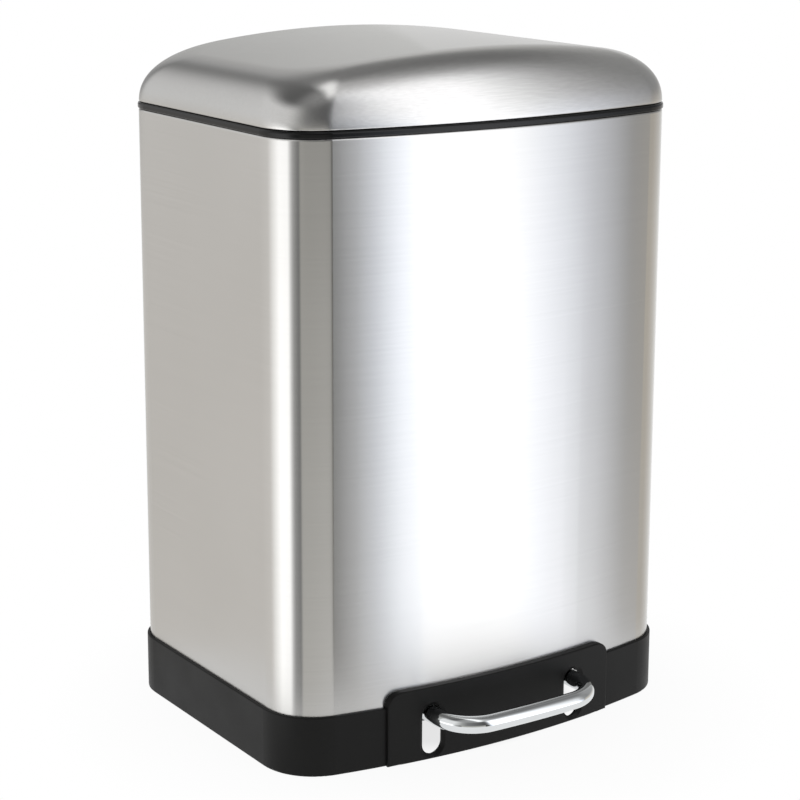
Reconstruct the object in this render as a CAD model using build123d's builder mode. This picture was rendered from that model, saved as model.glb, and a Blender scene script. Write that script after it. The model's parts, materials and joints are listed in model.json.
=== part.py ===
"""Rectangular pedal trash can: steel wrap, domed lid, bar pedal, push rod and lift-out bucket.

Millimetres, +Z up, the front faces -Y. The origin is on the floor, under the middle of the
overall box.
"""
import os
from math import asin, atan, cos, degrees, hypot, radians, sin, sqrt, tan

from build123d import *

os.makedirs("parts", exist_ok=True)

# Steel wrap
body_width = 292.0
body_depth = 220.0  # front of the bow to the back wall
front_bow = 18.5  # the front bulges this far past its corners
front_corner = 35.0
rear_corner = 30.0
steel_top = 390.0
shell_bottom = 34.0  # lower edge, in the groove of the base
steel = 0.8  # sheet thickness of wrap and lid
steel_flange = 3.4  # inward flange at the top of the wrap
steel_roll = 1.5  # outer radius of the wrap's top edge
seam_width = 9.0
seam_proud = 0.7

# Lid
lid_gap = 0.8  # air between the rim and the lid's lower edge
lid_inset = 0.2  # lid outline inside the wrap's outline
lid_height = 42.0  # lower edge to the middle of the arch
lid_arch = 18.0  # the arch falls this far from the middle to the sides
lid_lean = 1.2  # the walls lean in this far over the lid's height
lid_corner_growth = 34.0  # the corners are this much rounder at the top
lid_shoulder = 28.5  # radius of the rounded top edge
lid_hem = 3.0  # radius of the curled lower edge
lid_open = 75.0  # opening angle in degrees

# Moulded plastic
wall = 2.4
seat_gap = 0.2  # moulding to sheet where one is pushed into the other
running_gap = 0.05  # round a pin that turns
moving_gap = 0.5  # between parts that pass each other
hole_gap = 0.2  # round a screw in a drilled hole
cut_reach = 4.0  # cuts through sheet metal go this far to both sides

# Rim between wrap and lid
rim_height = 4.0
rim_proud = 0.6
rim_mouth = 9.0  # wrap outline to the mouth, front and sides
rim_mouth_rear = 24.0  # wrap outline to the mouth, at the back
rim_skirt = 16.0
rim_edge = 1.6  # radius of its upper edge
rim_lower_edge = 0.8

# Base
base_height = 38.4
base_proud = 2.0  # band outside the wrap
base_edge = 1.2
base_top_edge = 0.65
floor_gap = 0.5  # the feet lift the band this far
deck_top = 44.0
upstand_top = 54.0  # inner wall that the wrap slides over
rib_depth = 10.0
rib_width = 2.0
rib_places = (72.0, 108.0)
cross_rib_places = (-62.0, -4.0, 54.0)  # measured from the middle of the body
foot_radius = 9.0
foot_height = 3.0
foot_edge = 1.0
foot_stem = 4.0
foot_stem_length = 7.0
foot_side = 36.0  # foot centre in from the side of the wrap
foot_front = 44.0  # foot centre behind the front of the bow
foot_rear = 30.0
boss_wall = 3.0

# Pedal plate on the front of the base
plate_width = 171.0
plate_top = 50.0
plate_bottom = 0.7
plate_proud = 4.5  # face outside the wrap
plate_corner = 10.0
plate_edge = 1.0
slot_play = 1.3  # air on each side of a leg
slot_head = 0.8  # air over a leg at rest
slot_height = 32.2
slot_bevel = 2.2  # width of the sloping rim round each slot
slot_bevel_depth = 1.5
slot_margin = 1.2  # the base and the wrap are cut this much wider than the plate
plate_screw_side = 76.0
plate_screw_height = 20.0
plate_screw_radius = 1.25
plate_screw_bite = 0.8  # screw into the plate's own thickness
plate_boss_radius = 3.5

# Bar pedal
bar_radius = 5.5
bar_height = 29.5
bar_standoff = 32.0  # bow of the bar in front of the wrap
bar_bend = 24.0
leg_side = 54.5
leg_length = 67.0  # bow of the bar to the ends of its legs

# Lever, axle and bushes
lever_plate = 2.5
lever_width = 34.0
lever_cross_width = 130.0
lever_cross_front = 10.0  # crossbar behind the front of the bow
lever_cross_depth = 30.0
lever_corner = 6.0
lever_flange = 8.0
lever_ear = 7.0
axle_setback = 83.0  # axle behind the front of the bow
axle_height = 27.5
axle_radius = 3.0
axle_end = 3.0  # axle past each clip
bush_radius = 5.0
bush_flange = 1.5
bush_flange_radius = 7.0
bearing_width = 10.0
bearing_radius = 9.0
clip_thickness = 1.0
clip_radius = 5.5
clip_groove = 0.5

# Hinge
hinge_offset = 6.0  # axis behind the back wall
pin_radius = 2.0
pin_head_radius = 3.4
pin_head = 1.6
pin_head_round = 0.8
ear_radius = 5.2
ear_web = 21.0  # the ears' webs run this far down the plate
ear_outer = (38.5, 46.0)  # reach of each pair of ears to the side
ear_inner = (18.5, 25.5)
knuckle_radius = 5.0
knuckle_side = (26.0, 38.0)
knuckle_middle = 5.0
hinge_plate = 3.0
hinge_plate_height = 42.5
hinge_plate_gap = 5.5  # plate stops this far under the axis
hinge_corner = 5.0
hinge_screw_side = 33.0
hinge_screw_rises = (8.0, 30.0)  # above the lower edge of the plate

# Lid bracket and liner
bracket_width = 80.0
bracket_depth = 20.0
bracket_height = 7.0
arm_round = 3.0  # upper back corner of the knuckle arms
bracket_screw_places = (-30.0, -15.0, 15.0, 30.0)
bracket_screw_inset = 13.0  # screws in front of the back wall
liner_lip = 3.3  # liner edge inside the lid outline, clear of the curled hem
liner_edge = 0.6  # chamfer that clears the curl of the hem
liner_dish = 24.0  # dish edge inside the wrap outline
liner_dish_depth = 12.0
liner_dish_rear = 25.0
liner_dish_corner = 20.0
liner_rib = 11.5  # rib that drops into the mouth
liner_rib_rear = 27.0
liner_rib_depth = 3.0
liner_rib_width = 2.0
bumper_radius = 2.4
bumper_inset = 6.7
bumper_spacing = 110.0
bumper_gap = 0.2

# Push rod
rod_radius = 2.0
rod_inset = 9.0  # rod in front of the back of the wrap
rod_side = 11.0
rod_bend = 5.0
hook_end = 3.0  # hook past the crank
crank_radius = 5.6
crank_slot_gap = 0.85  # play of the hook across the crank's slot
rod_window = 15.0  # half width of the opening in the rim for crank and rod
crank_window = 7.0  # half width of the opening in the wrap for the crank
rod_foot_radius = 4.0
rod_foot_height = 14.0
rod_foot_grip = 10.0
rod_foot_round = 2.0
foot_lift = 0.4  # rod foot above the lever's tail at rest
lower_guide_rise = 96.0  # above the deck
upper_guide_drop = 72.0  # below the hinge plate
guide_height = 16.0
guide_plate = 3.0
guide_eye = 4.6
guide_width = 34.0
guide_gap = 0.3
rivet_side = -9.0
rivet_radius = 1.9
rivet_head_radius = 3.6
rivet_head = 1.4
rivet_round = 1.1
rivet_tail_radius = 2.9

# Bucket
bucket_drop = 6.0  # rim of the bucket under the top of the wrap
bucket_rim = 12.5  # rim edge inside the wrap outline
bucket_rim_rear = 28.0
bucket_rim_width = 7.0
bucket_taper = 8.0  # each wall leans in this far from top to bottom
bucket_wall = 2.0
bucket_skirt = 8.0
bucket_corner = 24.0  # at the bottom
bucket_foot = 4.0  # rounded bottom edge

# Screws
screw_radius = 2.0
screw_head_radius = 3.8
screw_head = 2.2
screw_round = 1.1
washer_head_radius = 6.0

# Places that follow from the sizes
bow_radius = ((body_width / 2) ** 2 + front_bow**2) / (2 * front_bow)
pedal_reach = bar_standoff + bar_radius
rear_reach = hinge_offset + ear_radius
front_y = pedal_reach - (pedal_reach + body_depth + rear_reach) / 2
rear_y = front_y + body_depth
middle_y = (front_y + rear_y) / 2
bow_center_y = front_y + bow_radius
rim_top = steel_top + rim_height
lid_bottom = rim_top + lid_gap
lid_crown = lid_bottom + lid_height
liner_bottom = lid_bottom + steel
liner_top = liner_bottom + wall
hinge_y = rear_y + hinge_offset
hinge_z = steel_top
hinge_plate_bottom = hinge_z - hinge_plate_gap - hinge_plate_height
rod_y = rear_y - rod_inset
crank_reach = hinge_y - rod_y
crank_drop = crank_reach * tan(radians(lid_open / 2))
hook_z = hinge_z - crank_drop
axle_y = front_y + axle_setback
foot_z = axle_height - crank_drop
deck_bottom = deck_top - wall
inner_wall = steel + seat_gap
lever_top = bar_height - bar_radius - running_gap
slot_width = 2 * (bar_radius + slot_play)
slot_center = bar_height + bar_radius + slot_head - slot_height / 2
bucket_top = steel_top - bucket_drop
guide_heights = (deck_top + lower_guide_rise, hinge_plate_bottom - upper_guide_drop)


def outline(plane, grow, rear_grow=None, corner=None, soften=0):
    """Plan outline of the can, moved outwards by grow, its back by rear_grow, its corners softened."""
    half = body_width / 2 + grow
    radius = bow_radius + grow
    side_y = bow_center_y - sqrt(radius**2 - half**2)
    back_y = rear_y + (grow if rear_grow is None else rear_grow)
    with BuildSketch(plane) as sketch:
        with BuildLine():
            ThreePointArc((-half, side_y), (0, bow_center_y - radius), (half, side_y))
            Polyline((half, side_y), (half, back_y), (-half, back_y), (-half, side_y))
        make_face()
        fillet(sketch.vertices().sort_by(Axis.Y)[:2], corner or front_corner + grow + soften)
        fillet(sketch.vertices().sort_by(Axis.Y)[-2:], corner or rear_corner + grow + soften)
    return sketch.sketch


def front_plane(x, z, grow):
    """Plane on the bowed front, grown outwards from the wrap at x, its normal pointing outwards."""
    turn = asin(x / bow_radius)
    radius = bow_radius + grow
    touch = (radius * sin(turn), bow_center_y - radius * cos(turn), z)
    return Plane(touch, x_dir=(cos(turn), sin(turn), 0), z_dir=(sin(turn), -cos(turn), 0))


def leg_slot(side, grow, margin):
    """Tall slot for one leg of the pedal bar, in the plane of the front face there."""
    with BuildSketch(front_plane(side * leg_side, slot_center, grow)) as sketch:
        SlotOverall(slot_height + 2 * margin, slot_width + 2 * margin, rotation=90)
    return sketch.sketch


def dome(inset):
    """Solid form of the lid, moved inwards by inset: arched top, round shoulders, curled foot."""
    arch_radius = ((body_width / 2) ** 2 + lid_arch**2) / (2 * lid_arch)
    foot = outline(Plane.XY.offset(lid_bottom + inset), -lid_inset - inset)
    top = outline(
        Plane.XY.offset(lid_crown),
        -lid_inset - lid_lean - inset,
        soften=lid_corner_growth,
    )
    with BuildPart() as form:
        loft([foot, top], ruled=True)
        with Locations((0, middle_y, lid_crown - arch_radius)):
            Cylinder(arch_radius - inset, 2 * body_depth, rotation=(90, 0, 0), mode=Mode.INTERSECT)
        fillet(form.faces().sort_by(Axis.Z)[-1].edges(), lid_shoulder - inset)
        fillet(form.faces().sort_by(Axis.Z)[0].edges(), lid_hem - inset)
    return form.part


def back_plane(y):
    """Plane across the can at y, its normal pointing to the back."""
    return Plane((0, y, 0), x_dir=(-1, 0, 0), z_dir=(0, 1, 0))


hinge_screw_places = [
    (side * hinge_screw_side, hinge_plate_bottom + rise) for side in (-1, 1) for rise in hinge_screw_rises
]
foot_places = [
    (side * (body_width / 2 - foot_side), y)
    for side in (-1, 1)
    for y in (front_y + foot_front, rear_y - foot_rear)
]
plate_screw_places = (-plate_screw_side, 0, plate_screw_side)
rivet_places = [(-rivet_side, z) for z in guide_heights]
lid_screw_places = [(x, rear_y - bracket_screw_inset, liner_bottom) for x in bracket_screw_places]

# Brushed steel wrap with a folded seam down the back
with BuildPart() as outer_shell:
    extrude(outline(Plane.XY.offset(shell_bottom), 0), amount=steel_top - shell_bottom)
    fillet(outer_shell.faces().sort_by(Axis.Z)[-1].edges(), steel_roll)
    extrude(
        outline(Plane.XY.offset(shell_bottom), -steel),
        amount=steel_top - steel - shell_bottom,
        mode=Mode.SUBTRACT,
    )
    extrude(
        outline(Plane.XY.offset(steel_top - steel), -steel_flange),
        amount=steel,
        mode=Mode.SUBTRACT,
    )
    with BuildSketch(back_plane(rear_y)):
        with Locations((0, base_height + seat_gap)):
            Rectangle(
                seam_width,
                hinge_plate_bottom - base_height - 2 * seat_gap,
                align=(Align.CENTER, Align.MIN),
            )
    extrude(amount=seam_proud)
    with BuildSketch(back_plane(rear_y)):
        with Locations((0, steel_top)):
            Rectangle(
                2 * crank_window,
                2 * (crank_drop + crank_radius + moving_gap),
            )
        with Locations(*hinge_screw_places):
            Circle(screw_radius + hole_gap)
        with Locations(*rivet_places):
            Circle(rivet_radius + running_gap)
    extrude(amount=cut_reach, both=True, mode=Mode.SUBTRACT)
    for side in (-1, 1):
        extrude(leg_slot(side, 0, slot_margin), amount=cut_reach, both=True, mode=Mode.SUBTRACT)

# Moulded rim with a skirt inside the wrap and a plate behind the hinge
with BuildPart() as top_ring:
    extrude(outline(Plane.XY.offset(steel_top), rim_proud), amount=rim_height)
    fillet(top_ring.faces().sort_by(Axis.Z)[-1].edges(), rim_edge)
    fillet(top_ring.faces().sort_by(Axis.Z)[0].edges(), rim_lower_edge)
    extrude(
        outline(Plane.XY.offset(steel_top - rim_skirt), -steel_flange - seat_gap),
        amount=rim_skirt,
    )
    skirt_inside = -steel_flange - seat_gap - wall
    extrude(
        outline(Plane.XY.offset(steel_top - rim_skirt), skirt_inside),
        amount=rim_skirt,
        mode=Mode.SUBTRACT,
    )
    extrude(
        outline(Plane.XY.offset(steel_top), -rim_mouth, -rim_mouth_rear),
        amount=rim_height,
        mode=Mode.SUBTRACT,
    )
    with BuildSketch(back_plane(rear_y - steel_flange - seat_gap)):
        with Locations((0, hinge_plate_bottom)):
            Rectangle(
                2 * ear_outer[1],
                steel_top - hinge_plate_bottom,
                align=(Align.CENTER, Align.MIN),
            )
    extrude(amount=-wall)
    with BuildSketch(back_plane(rear_y - steel_flange - seat_gap)):
        with Locations(*hinge_screw_places):
            Circle(screw_radius + boss_wall)
    extrude(amount=steel_flange + seat_gap - steel)
    with BuildSketch(back_plane(rear_y)):
        with Locations(*hinge_screw_places):
            Circle(screw_radius + running_gap)
        with Locations((0, steel_top)):
            Rectangle(
                2 * rod_window,
                2 * (crank_drop + crank_radius + moving_gap),
            )
    extrude(amount=rim_mouth_rear + rim_proud, both=True, mode=Mode.SUBTRACT)

# Moulded base: band, groove for the wrap, deck, ribs, bearings and foot bosses
with BuildPart() as base:
    extrude(outline(Plane.XY.offset(floor_gap), base_proud), amount=base_height - floor_gap)
    fillet(base.faces().sort_by(Axis.Z)[-1].edges(), base_top_edge)
    fillet(base.faces().sort_by(Axis.Z)[0].edges(), base_edge)
    extrude(
        outline(Plane.XY.offset(shell_bottom), seat_gap),
        amount=base_height - shell_bottom,
        mode=Mode.SUBTRACT,
    )
    extrude(outline(Plane.XY.offset(shell_bottom), -inner_wall), amount=upstand_top - shell_bottom)
    extrude(
        outline(Plane.XY.offset(floor_gap), base_proud - wall),
        amount=shell_bottom - wall - floor_gap,
        mode=Mode.SUBTRACT,
    )
    extrude(
        outline(Plane.XY.offset(shell_bottom - wall), -inner_wall - wall),
        amount=deck_bottom - shell_bottom + wall,
        mode=Mode.SUBTRACT,
    )
    extrude(
        outline(Plane.XY.offset(deck_top), -inner_wall - wall),
        amount=upstand_top - deck_top,
        mode=Mode.SUBTRACT,
    )
    # Ribs under the deck, clear of the lever
    with BuildSketch(Plane.XY.offset(deck_bottom - rib_depth)) as ribs:
        for side in (-1, 1):
            with Locations(*[(side * x, middle_y) for x in rib_places]):
                Rectangle(rib_width, 2 * body_depth)
            with Locations(*[(side * rib_places[0], middle_y + y) for y in cross_rib_places]):
                Rectangle(
                    body_width,
                    rib_width,
                    align=(Align.MIN if side > 0 else Align.MAX, Align.CENTER),
                )
        add(outline(Plane.XY, -inner_wall - wall / 2), mode=Mode.INTERSECT)
    extrude(amount=rib_depth)
    # Bearing blocks for the axle
    for side in (-1, 1):
        inner_face = side * (lever_width / 2 + moving_gap + bush_flange)
        with BuildSketch(Plane.YZ.offset(inner_face)):
            with Locations((axle_y, axle_height)):
                Circle(bearing_radius)
                Rectangle(
                    2 * bearing_radius,
                    deck_bottom - axle_height,
                    align=(Align.CENTER, Align.MIN),
                )
                Circle(bush_radius, mode=Mode.SUBTRACT)
        extrude(amount=side * bearing_width)
    # Bosses that hold the feet
    with BuildSketch(Plane.XY.offset(foot_height)):
        with Locations(*foot_places):
            Circle(foot_stem + boss_wall)
    extrude(amount=deck_bottom - foot_height)
    with BuildSketch(Plane.XY.offset(foot_height)):
        with Locations(*foot_places):
            Circle(foot_stem + running_gap)
    extrude(amount=foot_stem_length + moving_gap, mode=Mode.SUBTRACT)
    # Passage for the push rod through the deck
    with BuildSketch(Plane.XY.offset(deck_bottom)):
        with Locations((rod_side, rod_y)):
            Circle(rod_foot_radius + 2 * moving_gap)
            Rectangle(
                2 * (rod_foot_radius + 2 * moving_gap),
                rod_inset - inner_wall - wall,
                align=(Align.CENTER, Align.MIN),
            )
    extrude(amount=wall, mode=Mode.SUBTRACT)
    # Slots for the pedal bar and holes for the plate's bosses
    for side in (-1, 1):
        extrude(
            leg_slot(side, base_proud, slot_margin),
            amount=2 * (base_proud + inner_wall + wall),
            both=True,
            mode=Mode.SUBTRACT,
        )
    for x in plate_screw_places:
        with BuildSketch(front_plane(x, plate_screw_height, base_proud)):
            Circle(plate_boss_radius + hole_gap)
        extrude(amount=wall, both=True, mode=Mode.SUBTRACT)

# Rubber feet with stems in the bosses
with BuildPart() as rubber_feet:
    with BuildSketch():
        with Locations(*foot_places):
            Circle(foot_radius)
    extrude(amount=foot_height)
    fillet(rubber_feet.edges().group_by(Axis.Z)[0], foot_edge)
    with BuildSketch(Plane.XY.offset(foot_height)):
        with Locations(*foot_places):
            Circle(foot_stem)
    extrude(amount=foot_stem_length)

# Raised plate on the front of the base, with bevelled slots
with BuildPart() as pedal_plate:
    step = base_height + seat_gap
    extrude(outline(Plane.XY.offset(plate_bottom), plate_proud), amount=plate_top - plate_bottom)
    extrude(
        outline(Plane.XY.offset(plate_bottom), base_proud + running_gap),
        amount=step - plate_bottom,
        mode=Mode.SUBTRACT,
    )
    extrude(outline(Plane.XY.offset(step), seat_gap), amount=plate_top - step, mode=Mode.SUBTRACT)
    with BuildSketch(Plane.XZ.offset(-front_y)) as plate_face:
        with Locations((0, plate_bottom)):
            Rectangle(plate_width, plate_top - plate_bottom, align=(Align.CENTER, Align.MIN))
        fillet(plate_face.vertices().sort_by(Axis.Y)[-2:], plate_corner)
    extrude(amount=front_bow, both=True, mode=Mode.INTERSECT)
    fillet(pedal_plate.faces().sort_by(SortBy.AREA)[-1].outer_wire().edges(), plate_edge)
    for x in plate_screw_places:
        with BuildSketch(front_plane(x, plate_screw_height, base_proud - wall)):
            Circle(plate_boss_radius)
        extrude(amount=wall + plate_screw_bite)
        with BuildSketch(front_plane(x, plate_screw_height, base_proud - wall)):
            Circle(plate_screw_radius + running_gap)
        extrude(amount=wall + plate_screw_bite, mode=Mode.SUBTRACT)
    for side in (-1, 1):
        extrude(leg_slot(side, base_proud, 0), amount=2 * plate_proud, both=True, mode=Mode.SUBTRACT)
        extrude(
            leg_slot(side, plate_proud, slot_bevel),
            amount=-slot_bevel_depth,
            taper=degrees(atan(slot_bevel / slot_bevel_depth)),
            mode=Mode.SUBTRACT,
        )

# Chrome bar: two legs and a bow that follows the front
with BuildPart() as pedal_bar:
    bar_bow = bow_radius + bar_standoff
    bend_x = leg_side - bar_bend
    bend_y = bow_center_y - sqrt((bar_bow - bar_bend) ** 2 - bend_x**2)
    half_bow = degrees(asin(bend_x / (bar_bow - bar_bend)))
    leg_end = front_y - bar_standoff + leg_length
    with BuildLine(Plane.XY.offset(bar_height)) as bar_path:
        Line((-leg_side, leg_end), (-leg_side, bend_y))
        CenterArc((-bend_x, bend_y), bar_bend, 180, 90 - half_bow)
        CenterArc((0, bow_center_y), bar_bow, 270 - half_bow, 2 * half_bow)
        CenterArc((bend_x, bend_y), bar_bend, 270 + half_bow, 90 - half_bow)
        Line((leg_side, bend_y), (leg_side, leg_end))
    with BuildSketch(Plane((-leg_side, leg_end, bar_height), z_dir=(0, -1, 0))):
        Circle(bar_radius)
    sweep(path=bar_path.wires()[0])
    bar_screw_y = leg_end - 2 * screw_head_radius
    with BuildSketch(Plane.XY.offset(bar_height - bar_radius)):
        with Locations((-leg_side, bar_screw_y), (leg_side, bar_screw_y)):
            Circle(screw_radius + running_gap)
    extrude(amount=bar_radius + screw_radius, mode=Mode.SUBTRACT)

# Pressed lever: crossbar under the legs, ears on the axle, tail under the push rod
with BuildPart() as pedal_lever:
    cross_front = front_y + lever_cross_front
    tail_end = rod_y + rod_foot_radius
    tail_fall = (lever_top - foot_z + foot_lift) / (rod_y - axle_y - bearing_radius)
    bend_line = axle_y + bearing_radius
    tail_top = lever_top - tail_fall * (tail_end - bend_line)
    with BuildSketch(Plane.YZ) as lever_side:
        Polygon(
            (cross_front, lever_top),
            (bend_line, lever_top),
            (tail_end, tail_top),
            (tail_end, tail_top - lever_plate),
            (bend_line, lever_top - lever_plate),
            (cross_front, lever_top - lever_plate),
            align=None,
        )
    extrude(amount=lever_cross_width / 2, both=True)
    with BuildSketch() as lever_plan:
        with Locations((0, cross_front)):
            Rectangle(lever_cross_width, lever_cross_depth, align=(Align.CENTER, Align.MIN))
            Rectangle(lever_width, tail_end - cross_front, align=(Align.CENTER, Align.MIN))
        fillet(lever_plan.vertices(), lever_corner)
    extrude(amount=bar_height, mode=Mode.INTERSECT)
    for side in (-1, 1):
        with BuildSketch(Plane.YZ.offset(side * lever_width / 2)):
            Polygon(
                (bend_line, lever_top),
                (tail_end - lever_corner, lever_top - tail_fall * (tail_end - lever_corner - bend_line)),
                (tail_end - lever_corner, tail_top - lever_plate),
                (bend_line, lever_top - lever_flange),
                (axle_y - lever_ear, lever_top - lever_plate),
                (axle_y - lever_ear, lever_top),
                align=None,
            )
            with Locations((axle_y, axle_height)):
                Circle(lever_ear)
                Rectangle(
                    2 * lever_ear,
                    axle_height - lever_top + lever_plate,
                    align=(Align.CENTER, Align.MAX),
                )
                Circle(axle_radius + running_gap, mode=Mode.SUBTRACT)
        extrude(amount=-side * lever_plate)
    with BuildSketch(Plane.XY):
        with Locations((-leg_side, bar_screw_y), (leg_side, bar_screw_y)):
            Circle(screw_radius + hole_gap)
    extrude(amount=lever_top, mode=Mode.SUBTRACT)

# Screws that hold the bar's legs to the lever
with BuildPart() as bar_screws:
    with BuildSketch(Plane.XY.offset(lever_top - lever_plate)):
        with Locations((-leg_side, bar_screw_y), (leg_side, bar_screw_y)):
            Circle(screw_head_radius)
    extrude(amount=-screw_head)
    fillet(bar_screws.edges().group_by(Axis.Z)[0], screw_round)
    with BuildSketch(Plane.XY.offset(lever_top - lever_plate)):
        with Locations((-leg_side, bar_screw_y), (leg_side, bar_screw_y)):
            Circle(screw_radius)
    extrude(amount=lever_plate + bar_radius)

# Axle, grooved for its clips
clip_place = lever_width / 2 + moving_gap + bush_flange + bearing_width + moving_gap
with BuildPart() as pedal_axle:
    with BuildSketch(Plane.YZ):
        with Locations((axle_y, axle_height)):
            Circle(axle_radius)
    extrude(amount=clip_place + clip_thickness + axle_end, both=True)
    for side in (-1, 1):
        with BuildSketch(Plane.YZ.offset(side * (clip_place - running_gap))):
            with Locations((axle_y, axle_height)):
                Circle(axle_radius)
                Circle(axle_radius - clip_groove, mode=Mode.SUBTRACT)
        extrude(amount=side * (clip_thickness + 2 * running_gap), mode=Mode.SUBTRACT)

# Retaining clips, open at the bottom
with BuildPart() as axle_clips:
    for side in (-1, 1):
        with BuildSketch(Plane.YZ.offset(side * clip_place)):
            with Locations((axle_y, axle_height)):
                Circle(clip_radius)
                Circle(axle_radius - clip_groove + running_gap, mode=Mode.SUBTRACT)
                Rectangle(
                    axle_radius,
                    2 * clip_radius,
                    align=(Align.CENTER, Align.MAX),
                    mode=Mode.SUBTRACT,
                )
        extrude(amount=side * clip_thickness)

# Flanged bushes in the bearing blocks
with BuildPart() as axle_bushes:
    for side in (-1, 1):
        flange_face = side * (lever_width / 2 + moving_gap)
        with BuildSketch(Plane.YZ.offset(flange_face)):
            with Locations((axle_y, axle_height)):
                Circle(bush_flange_radius)
                Circle(axle_radius + running_gap, mode=Mode.SUBTRACT)
        extrude(amount=side * bush_flange)
        with BuildSketch(Plane.YZ.offset(flange_face)):
            with Locations((axle_y, axle_height)):
                Circle(bush_radius - running_gap)
                Circle(axle_radius + running_gap, mode=Mode.SUBTRACT)
        extrude(amount=side * (bush_flange + bearing_width))

# Screws that hold the plate from inside the base
with BuildPart() as plate_screws:
    for x in plate_screw_places:
        head_plane = front_plane(x, plate_screw_height, base_proud - wall - running_gap)
        with BuildSketch(head_plane):
            Circle(washer_head_radius)
        extrude(amount=-screw_head / 2)
        with BuildSketch(head_plane):
            Circle(screw_head_radius)
        extrude(amount=-screw_head)
        with BuildSketch(head_plane):
            Circle(plate_screw_radius)
        extrude(amount=wall + plate_screw_bite)

# Push rod: straight wire with a hook through the crank's slot
with BuildPart() as push_rod:
    rod_bottom = foot_z + rod_foot_height - rod_foot_grip
    hook_tip = -knuckle_middle - hook_end
    with BuildLine(Plane.XZ.offset(-rod_y)) as rod_path:
        FilletPolyline(
            (rod_side, rod_bottom),
            (rod_side, hook_z),
            (hook_tip, hook_z),
            radius=rod_bend,
        )
    with BuildSketch(Plane((rod_side, rod_y, rod_bottom))):
        Circle(rod_radius)
    sweep(path=rod_path.wires()[0])

# Nylon foot of the rod
with BuildPart() as rod_foot:
    with BuildSketch(Plane.XY.offset(foot_z)):
        with Locations((rod_side, rod_y)):
            Circle(rod_foot_radius)
    extrude(amount=rod_foot_height)
    fillet(rod_foot.edges().group_by(Axis.Z)[0], rod_foot_round)
    with BuildSketch(Plane.XY.offset(foot_z + rod_foot_height)):
        with Locations((rod_side, rod_y)):
            Circle(rod_radius + running_gap)
    extrude(amount=-rod_foot_grip, mode=Mode.SUBTRACT)

# Guides on the back wall
with BuildPart() as rod_guides:
    for z in guide_heights:
        with BuildSketch(Plane.XY.offset(z - guide_height / 2)):
            with Locations((rod_side + guide_eye, rear_y - steel)):
                Rectangle(guide_width, guide_plate, align=(Align.MAX, Align.MAX))
                Rectangle(2 * guide_eye, rod_inset - steel, align=(Align.MAX, Align.MAX))
            with Locations((rod_side, rod_y)):
                Circle(guide_eye)
                Circle(rod_radius + guide_gap, mode=Mode.SUBTRACT)
        extrude(amount=guide_height)
    with BuildSketch(back_plane(rear_y)):
        with Locations(*rivet_places):
            Circle(rivet_radius + running_gap)
    extrude(amount=-steel - guide_plate, mode=Mode.SUBTRACT)

# Rivets through the wrap and the guides
with BuildPart() as guide_rivets:
    with BuildSketch(back_plane(rear_y)):
        with Locations(*rivet_places):
            Circle(rivet_head_radius)
    extrude(amount=rivet_head)
    fillet(guide_rivets.edges().group_by(Axis.Y)[-1], rivet_round)
    with BuildSketch(back_plane(rear_y)):
        with Locations(*rivet_places):
            Circle(rivet_radius)
    extrude(amount=-steel - guide_plate - rivet_head)
    with BuildSketch(back_plane(rear_y - steel - guide_plate)):
        with Locations(*rivet_places):
            Circle(rivet_tail_radius)
    extrude(amount=-rivet_head)

# Fixed half of the hinge: back plate and four ears
with BuildPart() as hinge_bracket:
    with BuildSketch(back_plane(rear_y)) as hinge_face:
        with Locations((0, hinge_plate_bottom)):
            Rectangle(2 * ear_outer[1], hinge_plate_height, align=(Align.CENTER, Align.MIN))
        fillet(hinge_face.vertices().sort_by(Axis.Y)[:2], hinge_corner)
        with Locations((0, hinge_z)):
            Rectangle(
                2 * crank_window,
                2 * (crank_drop + crank_radius + moving_gap),
                mode=Mode.SUBTRACT,
            )
    extrude(amount=hinge_plate)
    for side in (-1, 1):
        for reach in (ear_inner, ear_outer):
            with BuildSketch(Plane.YZ.offset(side * reach[0])):
                Polygon(
                    (rear_y, hinge_z),
                    (hinge_y + ear_radius, hinge_z),
                    (hinge_y + ear_radius, hinge_z - ear_radius),
                    (rear_y + hinge_plate, hinge_z - ear_web),
                    (rear_y, hinge_z - ear_web),
                    align=None,
                )
                with Locations((hinge_y, hinge_z)):
                    Circle(ear_radius)
                    Circle(pin_radius + running_gap, mode=Mode.SUBTRACT)
            extrude(amount=side * (reach[1] - reach[0]))
    with BuildSketch(back_plane(rear_y)):
        with Locations(*hinge_screw_places):
            Circle(screw_radius + hole_gap)
    extrude(amount=hinge_plate, mode=Mode.SUBTRACT)

# Screws of the hinge bracket, through the wrap into the rim
with BuildPart() as hinge_screws:
    with BuildSketch(back_plane(rear_y + hinge_plate)):
        with Locations(*hinge_screw_places):
            Circle(screw_head_radius)
    extrude(amount=screw_head)
    fillet(hinge_screws.edges().group_by(Axis.Y)[-1], screw_round)
    with BuildSketch(back_plane(rear_y + hinge_plate)):
        with Locations(*hinge_screw_places):
            Circle(screw_radius)
    extrude(amount=-hinge_plate - steel_flange - wall)

# Hinge pin with a head on one end
with BuildPart() as hinge_pin:
    with BuildSketch(Plane.YZ.offset(-ear_outer[1])):
        with Locations((hinge_y, hinge_z)):
            Circle(pin_radius)
    extrude(amount=2 * ear_outer[1])
    with BuildSketch(Plane.YZ.offset(ear_outer[1])):
        with Locations((hinge_y, hinge_z)):
            Circle(pin_head_radius)
    extrude(amount=pin_head)
    fillet(hinge_pin.edges().group_by(Axis.X)[-1], pin_head_round)

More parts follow.
